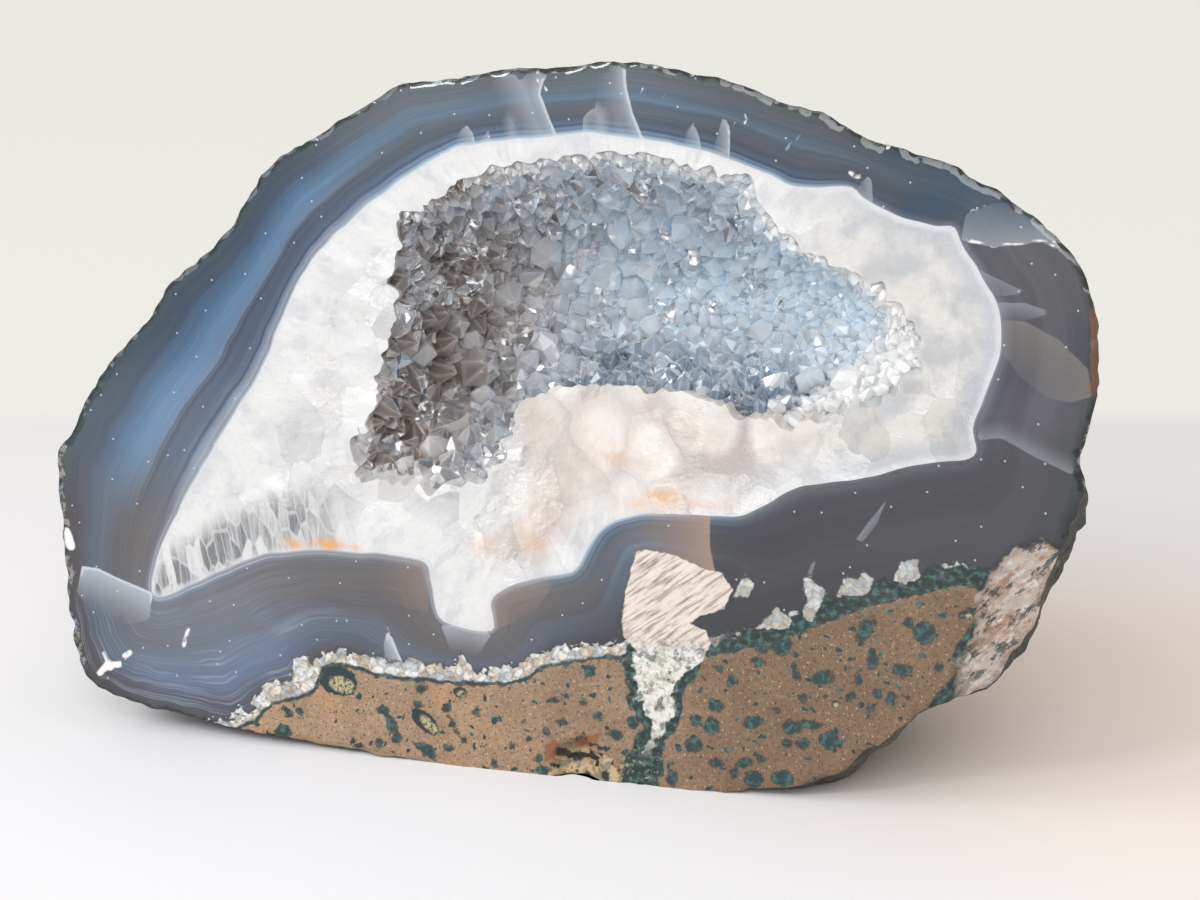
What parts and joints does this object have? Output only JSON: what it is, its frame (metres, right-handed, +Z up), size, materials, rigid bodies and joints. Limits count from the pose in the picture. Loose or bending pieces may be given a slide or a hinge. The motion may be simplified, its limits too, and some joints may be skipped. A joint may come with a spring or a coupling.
{
  "type": "druzy agate end piece",
  "caption": "Cut and polished end of an agate nodule on its basalt, with a crystal-lined hollow, ground flat underneath so that it stands on a table.",
  "frame": {"origin": "on the surface that the stone stands on, under the middle of its box", "axes": "+X to the right along the polished face, +Y from the polished face back into the stone, +Z up"},
  "size_m": [0.1998, 0.0892, 0.1328],
  "materials": {
    "agate_stone": "polished grey-blue agate, white quartz and brown basalt on the cut face; rough dark rind behind",
    "quartz_crystal": "clear to milky quartz points with bright flat faces"
  },
  "bodies": {
    "root": {"agate_stone": "agate_stone", "crystal_crust": "quartz_crystal"}
  },
  "joints": []
}
